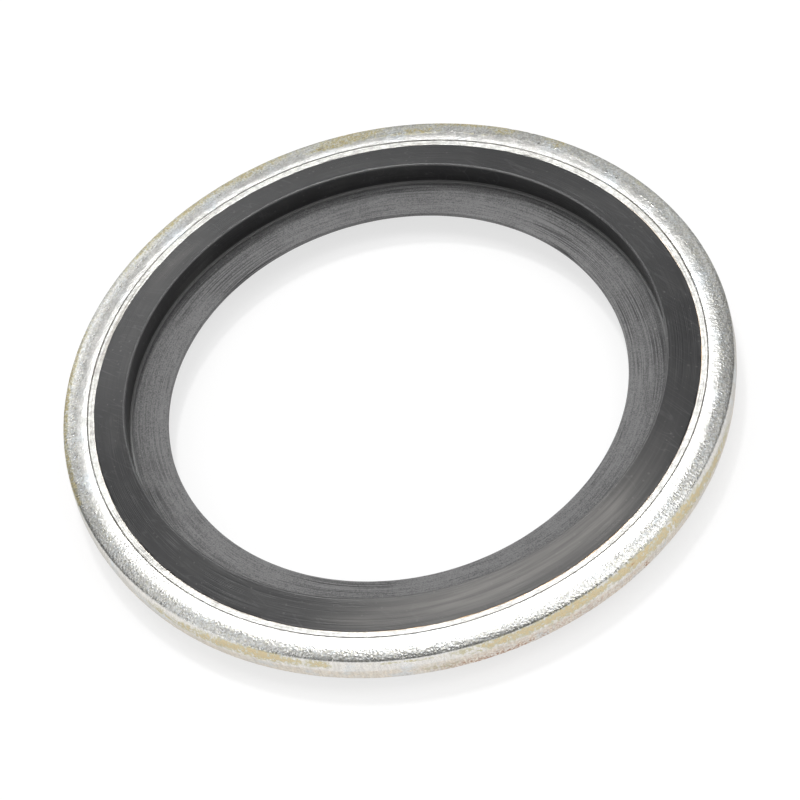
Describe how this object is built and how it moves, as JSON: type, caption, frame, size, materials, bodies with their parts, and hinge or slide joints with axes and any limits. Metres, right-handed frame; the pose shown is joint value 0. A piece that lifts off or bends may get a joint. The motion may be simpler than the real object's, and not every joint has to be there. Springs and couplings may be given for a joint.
{
  "type": "bonded sealing washer",
  "caption": "Self-centring bonded sealing washer: zinc-plated steel ring with a black rubber seal moulded into its bore, with raised lips and a thin centring web.",
  "frame": {"origin": "on the axis of the washer, in the plane that the lower lip rests on", "axes": "+Z along the axis of the washer, towards the face with the drawn-down edge; X and Y are any two radii"},
  "size_m": [0.0348, 0.0348, 0.003],
  "materials": {
    "zinc_plate": "zinc plated and passivated, satin with a fine pebbled grain, golden tints on the sheared edge",
    "black_rubber": "moulded nitrile rubber, matt with fine concentric tool lines"
  },
  "bodies": {
    "root": {"steel_ring": "zinc_plate", "rubber_seal": "black_rubber"}
  },
  "joints": []
}
